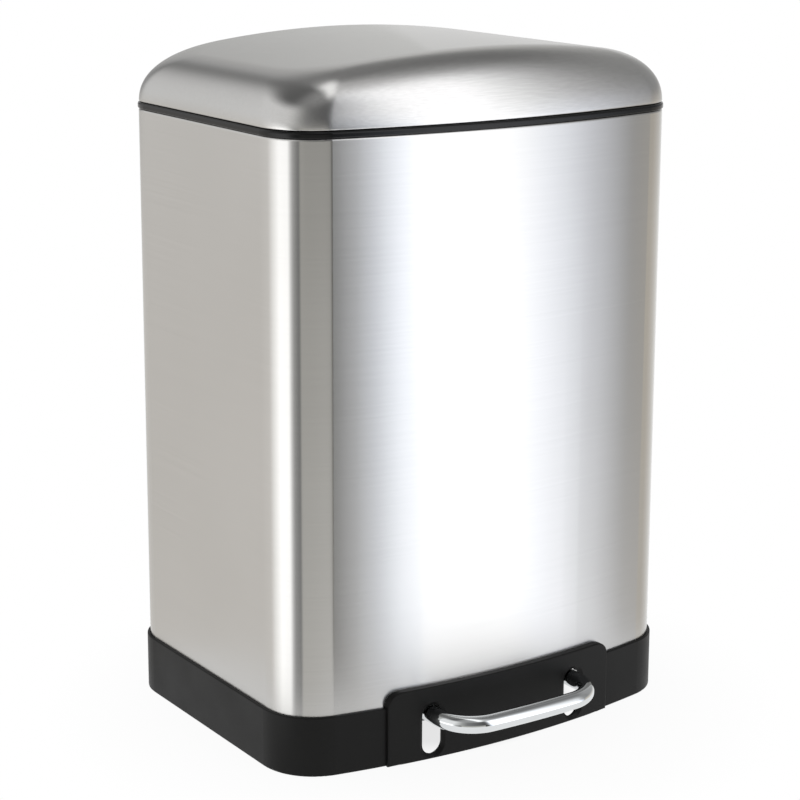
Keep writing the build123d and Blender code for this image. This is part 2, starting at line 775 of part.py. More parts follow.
# Domed steel lid, curled in along its lower edge, open for the hinge at the back
with BuildPart() as lid_shell:
    add(dome(0))
    add(dome(steel), mode=Mode.SUBTRACT)
    extrude(
        outline(Plane.XY.offset(lid_bottom), -lid_inset - lid_hem - steel),
        amount=2 * steel,
        mode=Mode.SUBTRACT,
    )
    with BuildSketch(back_plane(rear_y)):
        with Locations((0, lid_bottom)):
            Rectangle(
                bracket_width + 2 * seat_gap,
                liner_top + bracket_height + seat_gap - lid_bottom,
                align=(Align.CENTER, Align.MIN),
            )
    extrude(amount=-lid_inset - lid_hem - steel - seat_gap, mode=Mode.SUBTRACT)

# Moulded inner lid: flange on the hem, dished panel, rib that drops into the mouth
with BuildPart() as lid_liner:
    extrude(outline(Plane.XY.offset(liner_bottom), -lid_inset - liner_lip), amount=wall)
    chamfer(lid_liner.faces().sort_by(Axis.Z)[0].edges(), liner_edge)
    extrude(
        outline(
            Plane.XY.offset(liner_bottom),
            wall - liner_dish,
            wall - liner_dish_rear,
            liner_dish_corner + wall,
        ),
        amount=liner_dish_depth + wall,
    )
    extrude(
        outline(
            Plane.XY.offset(liner_bottom),
            -liner_dish,
            -liner_dish_rear,
            liner_dish_corner,
        ),
        amount=liner_dish_depth,
        mode=Mode.SUBTRACT,
    )
    extrude(
        outline(Plane.XY.offset(liner_bottom - liner_rib_depth), -liner_rib, -liner_rib_rear)
        - outline(
            Plane.XY.offset(liner_bottom - liner_rib_depth),
            -liner_rib - liner_rib_width,
            -liner_rib_rear - liner_rib_width,
        ),
        amount=liner_rib_depth,
    )
    with Locations(*[Plane(place, z_dir=(0, 0, -1)).location for place in lid_screw_places]):
        CounterSinkHole(screw_radius + hole_gap, screw_head_radius + hole_gap, wall)

# Hinge block on the liner: three knuckle arms, the middle one with the crank
with BuildPart() as lid_bracket:
    block_back = rear_y - lid_inset
    arm_top = liner_top + bracket_height
    with BuildSketch(Plane.XY.offset(liner_top)):
        with Locations((0, block_back)):
            Rectangle(bracket_width, bracket_depth, align=(Align.CENTER, Align.MAX))
    extrude(amount=bracket_height)
    arms = (
        (-knuckle_side[1], -knuckle_side[0]),
        (-knuckle_middle, knuckle_middle),
        (knuckle_side[0], knuckle_side[1]),
    )
    arm_bend = hinge_y - knuckle_radius + arm_round
    for low, high in arms:
        with BuildSketch(Plane.YZ.offset(low)):
            with Locations((hinge_y, hinge_z)):
                Circle(knuckle_radius)
            with Locations((arm_bend, arm_top - arm_round)):
                Circle(arm_round)
            make_hull()
            with Locations((arm_bend, liner_top)):
                Rectangle(bracket_height, bracket_height, align=(Align.MAX, Align.MIN))
        extrude(amount=high - low)
    crank_length = hypot(crank_reach, crank_drop)
    hook_play = rod_radius + crank_slot_gap
    with BuildSketch(Plane.YZ.offset(-knuckle_middle)):
        with Locations((hinge_y, hinge_z)):
            Circle(knuckle_radius)
        with Locations((rod_y, hook_z)):
            Circle(crank_radius)
        make_hull()
        slot_middle = (crank_reach + crank_length) / (2 * crank_length)
        with Locations((hinge_y - slot_middle * crank_reach, hinge_z - slot_middle * crank_drop)):
            SlotOverall(
                crank_length - crank_reach + 2 * hook_play,
                2 * hook_play,
                rotation=lid_open / 2,
                mode=Mode.SUBTRACT,
            )
    extrude(amount=2 * knuckle_middle)
    with BuildSketch(Plane.YZ):
        with Locations((hinge_y, hinge_z)):
            Circle(pin_radius + running_gap)
    extrude(amount=bracket_width, both=True, mode=Mode.SUBTRACT)
    with BuildSketch(Plane.XY.offset(liner_top)):
        with Locations(*[(x, y) for x, y, z in lid_screw_places]):
            Circle(screw_radius + running_gap)
    extrude(amount=bracket_height - wall, mode=Mode.SUBTRACT)

# Countersunk screws through the liner into the bracket
with BuildPart() as bracket_screws:
    with Locations(*lid_screw_places):
        Cone(
            screw_head_radius,
            screw_radius,
            screw_head_radius - screw_radius,
            align=(Align.CENTER, Align.CENTER, Align.MIN),
        )
        Cylinder(
            screw_radius,
            bracket_height - moving_gap,
            align=(Align.CENTER, Align.CENTER, Align.MIN),
        )

# Rubber pads under the lid
with BuildPart() as lid_bumpers:
    bumper_x = body_width / 2 - bumper_inset
    with BuildSketch(Plane.XY.offset(rim_top + bumper_gap)):
        with GridLocations(2 * bumper_x, bumper_spacing, 2, 2):
            with Locations((0, middle_y)):
                Circle(bumper_radius)
    extrude(amount=liner_bottom - rim_top - bumper_gap)

# Lift-out bucket with leaning walls and a turned-down rim
with BuildPart() as inner_bucket:
    bucket_height = bucket_top - deck_top
    lean = degrees(atan(bucket_taper / bucket_height))
    body_side = bucket_rim + bucket_rim_width + bucket_taper
    body_rear = bucket_rim_rear + bucket_rim_width + bucket_taper
    extrude(
        outline(Plane.XY.offset(deck_top), -body_side, -body_rear, bucket_corner),
        amount=bucket_height,
        taper=-lean,
    )
    fillet(inner_bucket.faces().sort_by(Axis.Z)[0].edges(), bucket_foot)
    extrude(
        outline(Plane.XY.offset(bucket_top - bucket_skirt), -bucket_rim, -bucket_rim_rear),
        amount=bucket_skirt,
    )
    fillet(inner_bucket.faces().sort_by(Axis.Z)[-1].edges(), bucket_wall)
    skirt_outline = outline(
        Plane.XY.offset(bucket_top - bucket_skirt),
        -bucket_rim - bucket_wall,
        -bucket_rim_rear - bucket_wall,
    )
    wall_top = outline(
        Plane.XY.offset(bucket_top - bucket_skirt),
        -bucket_rim - bucket_rim_width,
        -bucket_rim_rear - bucket_rim_width,
        bucket_corner + bucket_taper,
    )
    extrude(skirt_outline - wall_top, amount=bucket_skirt - bucket_wall, mode=Mode.SUBTRACT)
    extrude(
        outline(
            Plane.XY.offset(deck_top + bucket_wall),
            -body_side - bucket_wall,
            -body_rear - bucket_wall,
            bucket_corner - bucket_wall,
        ),
        amount=bucket_height,
        taper=-lean,
        mode=Mode.SUBTRACT,
    )

for name, piece in (
    ("outer_shell", outer_shell),
    ("top_ring", top_ring),
    ("base", base),
    ("rubber_feet", rubber_feet),
    ("pedal_plate", pedal_plate),
    ("pedal_bar", pedal_bar),
    ("pedal_lever", pedal_lever),
    ("bar_screws", bar_screws),
    ("pedal_axle", pedal_axle),
    ("axle_clips", axle_clips),
    ("axle_bushes", axle_bushes),
    ("plate_screws", plate_screws),
    ("push_rod", push_rod),
    ("rod_foot", rod_foot),
    ("rod_guides", rod_guides),
    ("guide_rivets", guide_rivets),
    ("hinge_bracket", hinge_bracket),
    ("hinge_screws", hinge_screws),
    ("hinge_pin", hinge_pin),
    ("lid_shell", lid_shell),
    ("lid_liner", lid_liner),
    ("lid_bracket", lid_bracket),
    ("bracket_screws", bracket_screws),
    ("lid_bumpers", lid_bumpers),
    ("inner_bucket", inner_bucket),
):
    piece.part.label = name
    export_step(piece.part, f"parts/{name}.step")
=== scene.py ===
"""Looks of the pedal trash can: materials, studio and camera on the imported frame. Metres."""
import json
import math

import bpy
from mathutils import Matrix, Vector


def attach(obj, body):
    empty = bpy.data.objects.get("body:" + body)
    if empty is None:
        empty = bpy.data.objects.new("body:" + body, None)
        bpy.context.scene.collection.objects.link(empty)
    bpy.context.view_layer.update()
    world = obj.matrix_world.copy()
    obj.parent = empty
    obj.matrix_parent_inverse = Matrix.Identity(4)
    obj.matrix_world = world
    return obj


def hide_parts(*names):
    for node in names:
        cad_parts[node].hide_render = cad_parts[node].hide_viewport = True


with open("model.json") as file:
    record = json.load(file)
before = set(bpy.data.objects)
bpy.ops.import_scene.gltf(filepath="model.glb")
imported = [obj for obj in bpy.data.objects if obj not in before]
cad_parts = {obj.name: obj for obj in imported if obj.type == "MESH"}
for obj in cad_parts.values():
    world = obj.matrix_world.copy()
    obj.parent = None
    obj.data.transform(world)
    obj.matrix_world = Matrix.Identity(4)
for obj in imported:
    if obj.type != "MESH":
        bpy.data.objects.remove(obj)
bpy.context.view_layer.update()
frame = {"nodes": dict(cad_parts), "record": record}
nodes = frame["nodes"]
scene = bpy.context.scene
scene.view_settings.view_transform = "Standard"

# Camera
camera_place = Vector((-0.78538, -1.14617, 0.55902))
camera_target = Vector((0.02258, 0.05445, 0.23061))
camera_roll = math.radians(0.204)
camera_lens = 99.35
camera_sensor = 36.0
camera_drop = -0.08  # the photograph's uprights converge less than its tilt alone would give

# Lid skin, on the plan of the wrap
half_width = 0.1460
front_place = -0.09685
rear_place = 0.12315
bow_radius = 0.58537
front_corner = 0.035
rear_corner = 0.030
lid_inset = 0.0002
lid_foot = 0.3942
lid_top = 0.4361
lid_arch = 0.0155
lid_hem = 0.0010
lid_return = 0.0018
lid_sheet = 0.0008
shoulder = 0.0265
shoulder_power = 2.35  # 2 is an ellipse, more is fuller
lean_front = 0.0010
lean_rear = 0.0020
corner_growth = 0.35
notch_half = 0.0402  # the notch at the back is for the hinge
notch_top = 0.4052

# Points along half of the lid's plan, and steps up its section
notch_points = 10
back_points = 14
rear_corner_points = 24
side_points = 24
front_corner_points = 36
bow_points = 40
hem_steps = 8
notch_steps = 6
shoulder_steps = 30
top_steps = 24

# Pedal bar
bar_radius = 0.0055
bar_height = 0.0295
bar_standoff = 0.032
bar_bend = 0.024
leg_side = 0.0545
leg_length = 0.067
bar_facets = 48
leg_points = 8
bend_points = 24
half_bow_points = 12

# Pedal plate: its upper edge is lower than the CAD's, as the photograph has it
plate_step = 0.0386  # the plate goes over the base's band up to here
plate_top = 0.0480

# Materials. A range is the part of a noise that a ramp or a roughness is spread over
cloud_range = (0.3, 0.7)
streak_range = (0.25, 0.75)
streak_rough_range = (0.2, 0.8)
steel_colour = (0.5525, 0.5475, 0.5375)
steel_cloud = (0.96, 0.96, 0.955)  # the darkest of the slow clouds over the sheet
steel_cloud_size = 7.0
steel_rough = 0.18
steel_rough_spread = 0.004
scratch_depth = 0.00002
scratch_strength = 0.12
plastic_tones = (0.88, 1.10)  # the darkest and palest clouds, as shares of the colour
plastic_cloud_size = 35.0
plastic_rough_spread = 0.04
plastic_gloss = 0.17
grain_depth = 0.00006
grain_strength = 0.35
polish_tone = 0.95  # the darkest clouds, as a share of the colour
polish_rough_shares = (0.7, 1.3)
polish_depth = 0.00001
polish_strength = 0.2

# Studio: degrees from the front towards the right, and the radiance of the panels there. The ground
# and low rows are what the upright walls mirror, the middle and high rows what the lid mirrors
ground_tones = (
    (-180, (0.83, 0.81, 0.78)),  # rear left, in the left wall
    (-150, (0.88, 0.85, 0.81)),
    (-125, (1.00, 0.97, 0.93)),
    (-114, (1.42, 1.41, 1.39)),
    (-98, 2.00),  # left panel, the bright stripe beside the near corner
    (-79, (1.75, 1.75, 1.76)),
    (-74, (0.85, 0.85, 0.86)),
    (-69, 0.46),  # flag beside it
    (-63, 0.44),
    (-57, 0.42),
    (-54, (0.80, 0.79, 0.76)),  # dim wall, the flat tone on the near corner
    (0, (0.89, 0.88, 0.85)),
    (1.2, (0.30, 0.29, 0.27)),  # narrow flag, the line where corner and bow meet
    (9.4, (0.30, 0.29, 0.27)),
    (10.4, 0.94),
    (14, (1.14, 1.16, 1.20)),
    (17, (1.56, 1.60, 1.68)),
    (19.5, (1.95, 2.00, 2.08)),
    (22, (2.15, 2.18, 2.25)),  # front panel, the white middle of the bow
    (37, (2.15, 2.18, 2.25)),
    (42, (1.90, 1.95, 2.06)),
    (47, (1.76, 1.78, 1.84)),
    (52, (1.40, 1.41, 1.43)),
    (57, 1.02),
    (60.5, (0.72, 0.71, 0.69)),
    (64, (0.80, 0.77, 0.72)),  # warm wall, the right end of the bow
    (78, (0.66, 0.63, 0.58)),
    (126, 1.05),  # rear right
    (155, (0.80, 0.80, 0.79)),
)
low_tones = (
    (-180, (0.80, 0.78, 0.75)),
    (-150, (0.83, 0.80, 0.76)),
    (-125, (0.96, 0.93, 0.89)),
    (-114, (1.48, 1.46, 1.43)),
    (-98, 2.20),  # left panel
    (-79, 2.20),
    (-74, 1.10),
    (-69, (0.50, 0.50, 0.49)),
    (-63, (0.26, 0.26, 0.25)),
    (-57, 0.10),  # flag beside it
    (-54, (0.54, 0.53, 0.49)),  # dim wall
    (0, (0.62, 0.61, 0.575)),
    (1.2, (0.02, 0.02, 0.01)),  # narrow flag
    (9.6, (0.02, 0.02, 0.01)),
    (10.4, (0.42, 0.42, 0.41)),
    (12, (0.48, 0.51, 0.56)),
    (14, (0.70, 0.75, 0.85)),
    (17, (1.22, 1.31, 1.50)),
    (19.5, (1.66, 1.78, 2.00)),
    (22, (2.15, 2.18, 2.25)),  # front panel
    (37, (2.15, 2.18, 2.25)),
    (42, (1.86, 1.92, 2.08)),
    (47, (1.54, 1.60, 1.76)),
    (52, (1.13, 1.17, 1.28)),
    (57, (0.80, 0.82, 0.87)),
    (60.5, 0.48),
    (64, (0.72, 0.67, 0.58)),  # warm wall
    (78, (0.80, 0.74, 0.65)),
    (126, 1.05),
    (155, (0.78, 0.78, 0.77)),
)
middle_tones = (
    (-180, 0.28),
    (-173, 0.40),
    (-164, 0.80),
    (-150, 1.00),  # left panel, in the lid's left wall
    (-110, 1.00),
    (-74, (0.96, 0.96, 0.95)),
    (-56, (0.45, 0.45, 0.44)),
    (-42, 0.24),  # flag, the dark streak on the lid's near corner
    (-12, 0.14),
    (0, 0.10),
    (5, (0.20, 0.20, 0.21)),
    (8, (0.50, 0.51, 0.53)),
    (12, (1.26, 1.28, 1.33)),
    (16, (1.90, 1.91, 1.96)),
    (20, (1.95, 1.95, 2.00)),  # front panel
    (30, (1.95, 1.95, 2.00)),
    (36, (1.52, 1.53, 1.56)),
    (43, (1.04, 1.05, 1.07)),
    (50, (0.64, 0.64, 0.65)),
    (60, 0.38),  # dim right
    (72, 0.32),
    (88, 0.38),
    (104, 0.38),
    (126, (0.55, 0.55, 0.54)),
    (144, (0.86, 0.86, 0.85)),
    (158, (0.64, 0.64, 0.63)),
    (168, 0.54),
)
high_tones = (
    (-180, 0.22),
    (-123, 0.14),  # flag, the stripe along the lid's left shoulder
    (-89, 0.13),
    (-70, 0.36),
    (-30, 0.40),
    (4, 0.40),
    (16, 0.65),  # upper edge of the front panel
    (26, 0.65),
    (40, 0.40),
    (78, 0.20),
    (136, 0.29),
)
ground_to_low = (math.radians(-26.0), math.radians(-8.0))
low_to_middle = (math.radians(-11.0), math.radians(9.0))
middle_to_high = (math.radians(34.0), math.radians(56.0))
overhead_middle = (-0.02, -0.26)  # of the box over the can, on the unit sphere
overhead_half = (0.10, 0.36)
overhead_soft = 0.16
overhead_tone = 1.5
studio_radius = 6.0
studio_middle = 0.2
studio_columns = 180
studio_rows = 60
open_turns = (130.0, 146.0)  # the panels leave the white backdrop free behind the can
open_rises = (-45.0, 15.0)

table_radius = 0.25
table_points = 192
table_tone = 0.80
table_rough = 0.9
# Share of plain white in what the camera and the metal see of the table, by share of its radius
table_white = ((0.34, 0.74), (0.42, 0.94), (0.50, 0.94), (0.98, 1.0))

# Colour sockets of a Mix node, whose names also belong to its other types
mix_factor, mix_first, mix_second, mix_result = 0, 6, 7, 2


def rgba(tone):
    """A colour with its alpha. A single number is a grey."""
    return (*tone, 1.0) if isinstance(tone, tuple) else (tone, tone, tone, 1.0)


def ramp(tree, stops, factor):
    node = tree.nodes.new("ShaderNodeValToRGB")
    elements = node.color_ramp.elements
    while len(elements) > 1:
        elements.remove(elements[-1])
    for i, (place, tone) in enumerate(stops):
        element = elements[0] if i == 0 else elements.new(place)
        element.position = place
        element.color = rgba(tone)
    tree.links.new(factor, node.inputs["Fac"])
    return node.outputs["Color"]


def math_node(tree, operation, *values):
    node = tree.nodes.new("ShaderNodeMath")
    node.operation = operation
    for socket, value in zip(node.inputs, values):
        if isinstance(value, (int, float)):
            socket.default_value = value
        else:
            tree.links.new(value, socket)
    return node.outputs["Value"]


def mix_colour(tree, factor, first, second, blend="MIX"):
    node = tree.nodes.new("ShaderNodeMix")
    node.data_type = "RGBA"
    node.blend_type = blend
    for i, value in ((mix_factor, factor), (mix_first, first), (mix_second, second)):
        if hasattr(value, "is_linked"):
            tree.links.new(value, node.inputs[i])
        else:
            node.inputs[i].default_value = value
    return node.outputs[mix_result]


def map_range(tree, value, low, high, to_low=0.0, to_high=1.0, kind="LINEAR"):
    node = tree.nodes.new("ShaderNodeMapRange")
    node.interpolation_type = kind
    tree.links.new(value, node.inputs["Value"])
    limits = (("From Min", low), ("From Max", high), ("To Min", to_low), ("To Max", to_high))
    for name, number in limits:
        node.inputs[name].default_value = number
    return node.outputs["Result"]


def smooth(tree, value, low, high):
    """0 at low, 1 at high, with a soft start and end."""
    return map_range(tree, value, low, high, kind="SMOOTHSTEP")


def noise(tree, size=1.0, stretch=(1.0, 1.0, 1.0), detail=2.0, rough=0.5):
    """Noise in the object's own coordinates, stretched by a scale for each axis."""
    source = tree.nodes.new("ShaderNodeTexCoord")
    mapping = tree.nodes.new("ShaderNodeMapping")
    mapping.inputs["Scale"].default_value = stretch
    tree.links.new(source.outputs["Object"], mapping.inputs["Vector"])
    node = tree.nodes.new("ShaderNodeTexNoise")
    node.inputs["Scale"].default_value = size
    node.inputs["Detail"].default_value = detail
    node.inputs["Roughness"].default_value = rough
    tree.links.new(mapping.outputs["Vector"], node.inputs["Vector"])
    return node.outputs["Fac"]


def bump(tree, height, distance, strength):
    node = tree.nodes.new("ShaderNodeBump")
    node.inputs["Distance"].default_value = distance
    node.inputs["Strength"].default_value = strength
    tree.links.new(height, node.inputs["Height"])
    return node.outputs["Normal"]


def new_material(name):
    made = bpy.data.materials.new(name)
    made.use_nodes = True
    tree = made.node_tree
    return made, tree, tree.nodes["Principled BSDF"]


def new_object(name, data):
    made = bpy.data.objects.new(name, data)
    scene.collection.objects.link(made)
    return made


def shares(colour, *factors):
    return [tuple(factor * c for c in colour) for factor in factors]


def brushed_steel(name, streak, contrast, turn, sheet=None):
    """Brushed stainless sheet. The streaks run along the axes whose streak scale is small. The gloss
    is stretched round the upright axis or, on a pressed piece, along its flat sheet in the UV map."""
    made, tree, shader = new_material(name)
    fine = noise(tree, stretch=streak, detail=4.0, rough=0.65)
    slow = noise(tree, steel_cloud_size)
    tone = ramp(tree, zip(streak_range, shares(steel_colour, 1 - contrast, 1 + contrast)), fine)
    shade = ramp(tree, zip(cloud_range, (steel_cloud, 1.0)), slow)
    tree.links.new(mix_colour(tree, 1.0, tone, shade, "MULTIPLY"), shader.inputs["Base Color"])
    smoothest, roughest = steel_rough - steel_rough_spread, steel_rough + steel_rough_spread
    gloss = map_range(tree, fine, *streak_rough_range, smoothest, roughest)
    tree.links.new(gloss, shader.inputs["Roughness"])
    shader.inputs["Metallic"].default_value = 1.0
    shader.inputs["Anisotropic"].default_value = 1.0
    shader.inputs["Anisotropic Rotation"].default_value = turn
    tangent = tree.nodes.new("ShaderNodeTangent")
    if sheet:
        tangent.direction_type = "UV_MAP"
        tangent.uv_map = sheet
    else:
        tangent.direction_type = "RADIAL"
        tangent.axis = "Z"
    tree.links.new(tangent.outputs["Tangent"], shader.inputs["Tangent"])
    tree.links.new(bump(tree, fine, scratch_depth, scratch_strength), shader.inputs["Normal"])
    return made


def moulded_plastic(name, colour, rough, grain, gloss=plastic_gloss):
    """Moulded plastic or rubber with a fine grain and slow clouds."""
    made, tree, shader = new_material(name)
    fine = noise(tree, grain)
    slow = noise(tree, plastic_cloud_size)
    tone = ramp(tree, zip(cloud_range, shares(colour, *plastic_tones)), slow)
    tree.links.new(tone, shader.inputs["Base Color"])
    smoothest, roughest = rough - plastic_rough_spread, rough + plastic_rough_spread
    tree.links.new(map_range(tree, slow, *cloud_range, smoothest, roughest), shader.inputs["Roughness"])
    shader.inputs["Specular IOR Level"].default_value = gloss
    tree.links.new(bump(tree, fine, grain_depth, grain_strength), shader.inputs["Normal"])
    return made


def polished(name, colour, rough, clouds):
    """Plated or drawn metal with slow clouds of the given scale."""
    made, tree, shader = new_material(name)
    slow = noise(tree, clouds, detail=3.0)
    tone = ramp(tree, zip(cloud_range, (*shares(colour, polish_tone), colour)), slow)
    tree.links.new(tone, shader.inputs["Base Color"])
    smoothest, roughest = (rough * share for share in polish_rough_shares)
    tree.links.new(map_range(tree, slow, *cloud_range, smoothest, roughest), shader.inputs["Roughness"])
    shader.inputs["Metallic"].default_value = 1.0
    tree.links.new(bump(tree, slow, polish_depth, polish_strength), shader.inputs["Normal"])
    return made


steel_wrap = brushed_steel("brushed_steel_wrap", streak=(6.0, 6.0, 2000.0), contrast=0.028, turn=0.25)
steel_lid = brushed_steel(
    "brushed_steel_lid", streak=(60.0, 1500.0, 1500.0), contrast=0.07, turn=0.0, sheet="sheet"
)
looks = {
    "brushed_steel": steel_wrap,
    "black_plastic": moulded_plastic(
        "black_plastic", (0.0085, 0.0085, 0.0082), rough=0.45, grain=2600.0
    ),
    "chrome": polished("chrome", (0.74, 0.76, 0.77), rough=0.05, clouds=60.0),
    "zinc_steel": polished("zinc_steel", (0.60, 0.61, 0.63), rough=0.28, clouds=240.0),
    "steel_wire": polished("steel_wire", (0.55, 0.55, 0.56), rough=0.22, clouds=300.0),
    "nylon": moulded_plastic("nylon", (0.72, 0.70, 0.64), rough=0.45, grain=1800.0),
    "aluminium": polished("aluminium", (0.76, 0.76, 0.77), rough=0.24, clouds=280.0),
    "rubber": moulded_plastic("rubber", (0.022, 0.022, 0.022), rough=0.75, grain=1600.0),
    "bucket_plastic": moulded_plastic(
        "bucket_plastic", (0.055, 0.057, 0.060), rough=0.50, grain=1900.0
    ),
}
# The top ring's colour is darker than the other black plastic: painted shade for the gaps above and
# below it. Its gloss and low roughness are real.
black_rim_painted_shade = moulded_plastic(
    "black_rim_painted_shade", (0.0050, 0.0052, 0.0056), rough=0.14, grain=2600.0, gloss=0.26
)
own_looks = {"top_ring": black_rim_painted_shade}
for piece in frame["record"]["subparts"]:
    node = nodes[piece["node"]]
    look = own_looks.get(piece["node"], looks[piece["material_slot"]])
    for i in range(len(node.data.materials)):
        node.data.materials[i] = look


def line(first, last, count):
    """Points on a straight line, without its last one."""
    return [tuple(a + (b - a) * i / count for a, b in zip(first, last)) for i in range(count)]


def arc(centre, radius, start, end, count):
    """Points on an arc between two angles, without its last one."""
    turns = [start + (end - start) * i / count for i in range(count)]
    return [(centre[0] + radius * math.cos(t), centre[1] + radius * math.sin(t)) for t in turns]


def plan(front_inset, rear_inset, soften):
    """Right half of the lid's plan from the middle of the back to the middle of the front."""
    half = half_width - lid_inset - front_inset
    radius = bow_radius - lid_inset - front_inset
    back = rear_place - lid_inset - rear_inset
    centre_y = front_place + bow_radius
    front_round = front_corner - lid_inset + soften
    rear_round = rear_corner - lid_inset + soften
    front_x, rear_x = half - front_round, half - rear_round
    front_y = centre_y - math.sqrt((radius - front_round) ** 2 - front_x**2)
    rear_y = back - rear_round
    touch = math.atan2(front_y - centre_y, front_x)
    points = line((0.0, back), (notch_half, back), notch_points)
    points += line((notch_half, back), (rear_x, back), back_points)
    points += arc((rear_x, rear_y), rear_round, math.pi / 2, 0.0, rear_corner_points)
    points += line((half, rear_y), (half, front_y), side_points)
    points += arc((front_x, front_y), front_round, 0.0, touch, front_corner_points)
    points += arc((0.0, centre_y), radius, touch, -math.pi / 2, bow_points)
    return points + [(0.0, centre_y - radius)]


def crown(x):
    return lid_top - lid_arch * (x / half_width) ** 2


def lid_rings():
    """Half outlines of the lid from the hem's return to the top, each with its height at x."""
    start = lid_foot + lid_hem
    inner = lid_hem + lid_return
    rings = [(plan(inner, inner, 0.0), lambda x: lid_foot)]
    for i in range(hem_steps + 1):
        turn = math.pi / 2 * i / hem_steps
        inset = lid_hem * (1 - math.sin(turn))
        height = lid_foot + lid_hem * (1 - math.cos(turn))
        rings.append((plan(inset, inset, -inset), lambda x, z=height: z))
    notch_share = (notch_top - start) / (crown(notch_half / 2) - start)
    notch_turn = math.asin(notch_share ** (shoulder_power / 2))
    turns = [notch_turn * i / notch_steps for i in range(1, notch_steps + 1)]
    rest = math.pi / 2 - notch_turn
    turns += [notch_turn + rest * i / shoulder_steps for i in range(1, shoulder_steps + 1)]
    for turn in turns:
        part = 1 - math.cos(turn) ** (2 / shoulder_power)
        rise = math.sin(turn) ** (2 / shoulder_power)
        inset = shoulder * part
        outline = plan(inset + lean_front * rise, inset + lean_rear * rise, corner_growth * inset)
        rings.append((outline, lambda x, s=rise: start + (crown(x) - start) * s))
    edge = rings[-1][0]
    middle = (edge[0][1] + edge[-1][1]) / 2
    for i in range(1, top_steps):
        share = 1 - i / top_steps
        rings.append(([(x * share, middle + (y - middle) * share) for x, y in edge], crown))
    return rings, middle


def unfold(vertices, loop, wall_ring, edge_ring):
    """Places on the flat sheet: the top lies as it is, the walls are folded out along their profile."""
    flat = [(y, x) for x, y, z in vertices]
    for i in range(loop):
        inner, outer = Vector(vertices[edge_ring * loop + i]), Vector(vertices[wall_ring * loop + i])
        outward = (outer - inner).to_2d().normalized()
        length = 0.0
        for ring in range(edge_ring - 1, -1, -1):
            here, above = vertices[ring * loop + i], vertices[(ring + 1) * loop + i]
            length += (Vector(here) - Vector(above)).length
            flat[ring * loop + i] = (inner.y + outward.y * length, inner.x + outward.x * length)
    return flat


def lid_skin():
    """Smooth domed lid: curled hem, full shoulder and arched top, open for the hinge at the back."""
    rings, middle = lid_rings()
    wall_ring = hem_steps + 2  # the first one above the hem
    notch_ring = hem_steps + 1 + notch_steps
    edge_ring = notch_ring + shoulder_steps  # the walls run into the top here
    vertices = []
    for outline, height in rings:
        full = outline + [(-x, y) for x, y in outline[-2:0:-1]]
        vertices += [(x, y, height(x)) for x, y in full]
    loop = len(vertices) // len(rings)
    faces = []
    for ring in range(len(rings) - 1):
        low, high = ring * loop, (ring + 1) * loop
        for i in range(loop):
            j = (i + 1) % loop
            at_notch = max(min(k, loop - k) for k in (i, j)) <= notch_points
            if at_notch and ring < notch_ring:
                continue
            faces.append((low + j, low + i, high + i, high + j))
    vertices.append((0.0, middle, crown(0.0)))
    top = (len(rings) - 1) * loop
    faces += [(top + (i + 1) % loop, top + i, len(vertices) - 1) for i in range(loop)]
    mesh = bpy.data.meshes.new("lid_skin")
    mesh.from_pydata(vertices, [], faces)
    mesh.shade_smooth()
    flat = unfold(vertices, loop, wall_ring, edge_ring)
    layer = mesh.uv_layers.new(name="sheet")
    for corner in mesh.loops:
        layer.data[corner.index].uv = flat[corner.vertex_index]
    mesh.materials.append(steel_lid)
    skin = new_object("lid_skin", mesh)
    sheet = skin.modifiers.new("sheet", "SOLIDIFY")
    sheet.thickness = lid_sheet
    sheet.offset = -1.0
    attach(skin, "lid")
    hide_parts("lid_shell")


def bar_path():
    """Middle line of the bar: leg, bend, bow along the front, bend, leg."""
    bow = bow_radius + bar_standoff
    centre_y = front_place + bow_radius
    bend_x = leg_side - bar_bend
    bend_y = centre_y - math.sqrt((bow - bar_bend) ** 2 - bend_x**2)
    bend_end = math.asin(bend_x / (bow - bar_bend)) - math.pi / 2
    leg_end = front_place - bar_standoff + leg_length
    half = line((leg_side, leg_end), (leg_side, bend_y), leg_points)
    half += arc((bend_x, bend_y), bar_bend, 0.0, bend_end, bend_points)
    half += arc((0.0, centre_y), bow, bend_end, -math.pi / 2, half_bow_points)
    return half + [(0.0, centre_y - bow)] + [(-x, y) for x, y in reversed(half)]


def bar_tube():
    """Smooth round bar with flat ends."""
    path = [Vector((x, y, bar_height)) for x, y in bar_path()]
    up = Vector((0.0, 0.0, 1.0))
    vertices, faces = [], []
    for i, place in enumerate(path):
        along = (path[min(i + 1, len(path) - 1)] - path[max(i - 1, 0)]).normalized()
        across = along.cross(up)
        for k in range(bar_facets):
            turn = math.tau * k / bar_facets
            vertices.append(place + bar_radius * (math.cos(turn) * across + math.sin(turn) * up))
    for i in range(len(path) - 1):
        low, high = i * bar_facets, (i + 1) * bar_facets
        for k in range(bar_facets):
            after = (k + 1) % bar_facets
            faces.append((low + k, low + after, high + after, high + k))
    last = (len(path) - 1) * bar_facets
    ends = [tuple(range(bar_facets - 1, -1, -1)), tuple(range(last, last + bar_facets))]
    mesh = bpy.data.meshes.new("bar_tube")
    mesh.from_pydata(vertices, [], faces + ends)
    for face in mesh.polygons:
        face.use_smooth = len(face.vertices) == 4  # the ends have more
    mesh.materials.append(looks["chrome"])
    bar = new_object("bar_tube", mesh)
    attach(bar, "pedal")
    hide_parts("pedal_bar")


def front_plate():
    """The pedal plate with its upper edge brought down."""
    mesh = nodes["pedal_plate"].data.copy()
    mesh.name = "front_plate"
    cad_top = max(vertex.co.z for vertex in mesh.vertices)
    share = (plate_top - plate_step) / (cad_top - plate_step)
    for vertex in mesh.vertices:
        if vertex.co.z > plate_step:
            vertex.co.z = plate_step + share * (vertex.co.z - plate_step)
    plate = new_object("front_plate", mesh)
    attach(plate, "can")
    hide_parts("pedal_plate")


lid_skin()
bar_tube()
front_plate()

